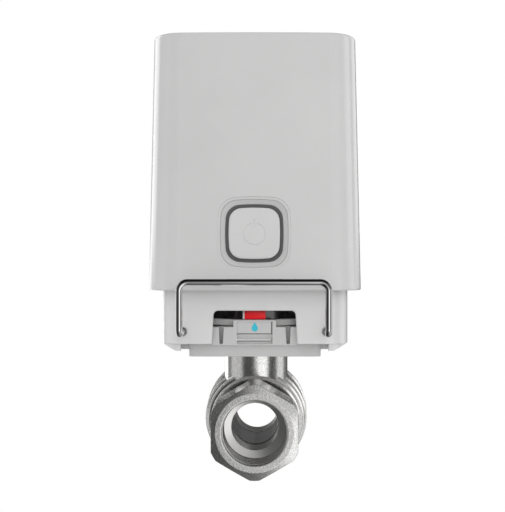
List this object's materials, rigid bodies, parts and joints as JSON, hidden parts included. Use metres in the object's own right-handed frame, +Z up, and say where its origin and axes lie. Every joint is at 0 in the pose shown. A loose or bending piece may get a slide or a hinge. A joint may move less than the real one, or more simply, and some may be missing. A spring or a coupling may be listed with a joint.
{
  "type": "motorized valve actuator",
  "caption": "Battery-powered actuator in a tapered plastic casing with a front button, clipped by a wire clip onto a small brass ball valve.",
  "frame": {"origin": "centre of the ball, where the bore axis meets the stem axis", "axes": "+Z up along the stem towards the casing top, -Y towards the front with the button, Y along the bore"},
  "size_m": [0.0626, 0.0679, 0.1302],
  "materials": {
    "casing_white": "satin moulded plastic",
    "housing_white": "satin moulded plastic",
    "adapter_white": "fine matte moulded plastic",
    "nickel": "satin nickel plate over cast brass",
    "chrome_wire": "polished spring steel",
    "ball_chrome": "polished chrome plate",
    "ptfe": "carbon-filled sealing plastic",
    "coupler_grey": "glass-filled moulded plastic",
    "steel": "zinc-plated steel",
    "brass": "machined brass",
    "rubber_black": "black rubber",
    "rubber_grey": "dark grey elastic rubber",
    "drum_black": "glossy black plastic",
    "mark_red": "glossy red plastic",
    "mark_white": "glossy white plastic",
    "drop_blue": "pad-printed cyan",
    "button_white": "satin moulded plastic",
    "ring_frosted": "frosted light guide",
    "board_green": "solder mask on glass fibre",
    "chip_black": "moulded chip package",
    "led_white": "LED package",
    "cell_wrap": "plain dark cell sleeve with bare metal ends",
    "contact_nickel": "nickel strip",
    "gear_cream": "natural acetal",
    "frame_grey": "dark grey moulded plastic",
    "lead_red": "insulated lead"
  },
  "bodies": {
    "frame": {"adapter_nut": "steel", "antenna": "contact_nickel", "axle_spacers": "brass", "ball_seats": "ptfe", "batteries": "cell_wrap", "battery_retainer": "frame_grey", "battery_tray": "frame_grey", "board_chips": "chip_black", "body_gasket": "rubber_black", "casing_gasket": "rubber_black", "drop_mark": "drop_blue", "end_connector": "nickel", "gear_axles": "steel", "gearbox_plate": "frame_grey", "gearbox_screws": "steel", "gland_nut": "brass", "hall_sensors": "chip_black", "lower_contacts": "contact_nickel", "lower_housing": "housing_white", "main_board": "board_green", "motor_can": "contact_nickel", "motor_end_cap": "frame_grey", "motor_leads": "lead_red", "motor_magnets": "chip_black", "motor_screws": "steel", "output_bush": "brass", "sensor_board": "board_green", "status_leds": "led_white", "stem_seals": "rubber_black", "tact_switch": "chip_black", "upper_contacts": "contact_nickel", "valve_adapter": "adapter_white", "valve_body": "nickel"},
    "drive": {"valve_ball": "ball_chrome", "valve_stem": "brass", "stem_coupler": "coupler_grey", "coupler_screw": "steel", "indicator_drum": "drum_black", "open_mark": "mark_red", "mark_border": "mark_white", "closed_mark": "mark_white", "output_shaft": "steel", "output_gear": "gear_cream", "shaft_clip": "steel", "sensor_magnet": "contact_nickel"},
    "gear_1": {"compound_gear_1": "gear_cream"},
    "gear_2": {"compound_gear_2": "gear_cream"},
    "gear_3": {"compound_gear_3": "gear_cream"},
    "rotor": {"motor_pinion": "brass", "motor_rotor": "steel"},
    "clip": {"retaining_clip": "chrome_wire"},
    "casing": {"casing": "casing_white", "light_ring": "ring_frosted", "button_seal": "rubber_grey"},
    "button": {"button_cap": "button_white"}
  },
  "joints": [
    {"name": "valve_turn", "type": "hinge", "parent": "frame", "child": "drive", "pos_m": [0, 0, 0], "axis": [0, 0, -1], "range_deg": [0, 90]},
    {"name": "gear_1_turn", "type": "hinge", "parent": "frame", "child": "gear_1", "pos_m": [0.01188, 0.01188, 0.046], "axis": [0, 0, -1], "range_deg": [-271, 0]},
    {"name": "gear_2_turn", "type": "hinge", "parent": "frame", "child": "gear_2", "pos_m": [0.01462, -0.00103, 0.046], "axis": [0, 0, -1], "range_deg": [0, 721]},
    {"name": "gear_3_turn", "type": "hinge", "parent": "frame", "child": "gear_3", "pos_m": [0.01018, -0.01325, 0.046], "axis": [0, 0, -1], "range_deg": [-2401, 0]},
    {"name": "motor_turn", "type": "hinge", "parent": "frame", "child": "rotor", "pos_m": [-0.00182, -0.01325, 0.046], "axis": [0, 0, -1], "range_deg": [0, 9601]},
    {"name": "clip_pull", "type": "slide", "parent": "frame", "child": "clip", "axis": [0, -1, 0], "range_m": [0, 0.0445]},
    {"name": "casing_lift", "type": "slide", "parent": "frame", "child": "casing", "axis": [0, 0, 1], "range_m": [0, 0.072]},
    {"name": "button_press", "type": "slide", "parent": "casing", "child": "button", "axis": [0, 0.9998, -0.0218], "range_m": [0, 0.0006], "stiffness_N_per_m": 100, "springref_m": -0.001}
  ],
  "couplings": [
    {"joint": "gear_1_turn", "follows": "valve_turn", "ratio": -3},
    {"joint": "gear_2_turn", "follows": "valve_turn", "ratio": 8},
    {"joint": "gear_3_turn", "follows": "valve_turn", "ratio": -26.667},
    {"joint": "motor_turn", "follows": "valve_turn", "ratio": 106.67}
  ]
}
